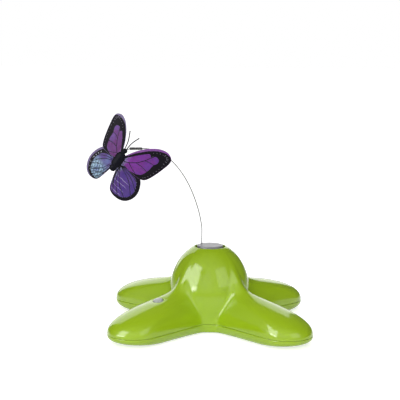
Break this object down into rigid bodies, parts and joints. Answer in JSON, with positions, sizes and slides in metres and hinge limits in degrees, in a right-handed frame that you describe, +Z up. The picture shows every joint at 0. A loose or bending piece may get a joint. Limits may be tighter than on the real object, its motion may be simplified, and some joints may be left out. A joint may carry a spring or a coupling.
{
  "type": "electronic butterfly cat toy",
  "caption": "Battery cat toy: a domed, armed plastic casing with a turntable that swings a butterfly on a springy steel wire.",
  "frame": {"origin": "on the floor, at the middle of the rest plane between the feet, under the turntable's axis", "axes": "+Z up along the turntable's axis; -Y towards a viewer of the power button's side; +X to that viewer's right; arms on the diagonals"},
  "size_m": [0.1831, 0.2576, 0.2024],
  "materials": {
    "shell_green": "gloss",
    "disc_grey": "satin",
    "button_grey": "satin",
    "foot_rubber": "matte",
    "battery_label": "gloss",
    "contact_steel": "satin",
    "frame_white": "satin",
    "gear_white": "satin",
    "motor_steel": "satin",
    "motor_cap": "matte",
    "shaft_steel": "satin",
    "switch_black": "matte",
    "board_green": "satin",
    "wire_steel": "satin",
    "sleeve_dark": "satin",
    "body_black": "gloss",
    "forewing_film": "gloss",
    "hindwing_film": "gloss"
  },
  "bodies": {
    "casing": {"base_shell": "shell_green", "upper_shell": "shell_green", "rubber_feet": "foot_rubber", "battery_cells": "battery_label", "battery_contacts": "contact_steel", "gearbox_frame": "frame_white", "gearbox_cover": "frame_white", "motor_can": "motor_steel", "motor_end_cap": "motor_cap", "push_switch": "switch_black", "switch_board": "board_green"},
    "button": {"power_button": "button_grey"},
    "door": {"battery_door": "shell_green"},
    "motor_rotor": {"motor_shaft": "shaft_steel", "motor_pinion": "gear_white"},
    "gear_one": {"first_gear": "gear_white"},
    "gear_two": {"second_gear": "gear_white"},
    "turntable": {"output_gear": "gear_white", "output_shaft": "shaft_steel", "turntable_disc": "disc_grey", "flight_wire": "wire_steel", "wire_sleeve": "sleeve_dark"},
    "butterfly": {"butterfly_link": "wire_steel", "butterfly_body": "body_black", "antennae": "body_black"},
    "left_wings": {"left_forewing": "forewing_film", "left_hindwing": "hindwing_film"},
    "right_wings": {"right_forewing": "forewing_film", "right_hindwing": "hindwing_film"}
  },
  "joints": [
    {"name": "turntable_spin", "type": "hinge", "parent": "casing", "child": "turntable", "pos_m": [0, 0, 0.06], "axis": [0, 0, 1], "continuous": true},
    {"name": "gear_two_spin", "type": "hinge", "parent": "casing", "child": "gear_two", "pos_m": [0, 0.012, 0.054], "axis": [0, 0, 1], "continuous": true},
    {"name": "gear_one_spin", "type": "hinge", "parent": "casing", "child": "gear_one", "pos_m": [-0.01039, 0.006, 0.05], "axis": [0, 0, 1], "continuous": true},
    {"name": "motor_spin", "type": "hinge", "parent": "casing", "child": "motor_rotor", "pos_m": [-0.01039, -0.006, 0.045], "axis": [0, 0, 1], "continuous": true},
    {"name": "power_button_press", "type": "slide", "parent": "casing", "child": "button", "axis": [0.1374, 0.1374, -0.9809], "range_m": [0, 0.0014], "stiffness_N_per_m": 250},
    {"name": "battery_door_hinge", "type": "hinge", "parent": "casing", "child": "door", "pos_m": [0, -0.0208, 0.001], "axis": [-1, 0, 0], "range_deg": [0, 90]},
    {"name": "butterfly_swivel", "type": "hinge", "parent": "turntable", "child": "butterfly", "pos_m": [-0.06259, -0.16637, 0.17887], "axis": [-0.3055, -0.9458, 0.1097], "range_deg": [-60, 60]},
    {"name": "left_wing_flap", "type": "hinge", "parent": "butterfly", "child": "left_wings", "pos_m": [-0.07031, -0.16218, 0.17061], "axis": [0.5699, -0.1497, 0.808], "range_deg": [-20, 20], "stiffness_Nm_per_rad": 0.001},
    {"name": "right_wing_flap", "type": "hinge", "parent": "butterfly", "child": "right_wings", "pos_m": [-0.0688, -0.16276, 0.16943], "axis": [0.5699, -0.1497, 0.808], "range_deg": [-20, 20], "stiffness_Nm_per_rad": 0.001}
  ],
  "couplings": [
    {"joint": "gear_two_spin", "follows": "turntable_spin", "ratio": -3},
    {"joint": "gear_one_spin", "follows": "turntable_spin", "ratio": 9},
    {"joint": "motor_spin", "follows": "turntable_spin", "ratio": -27}
  ]
}
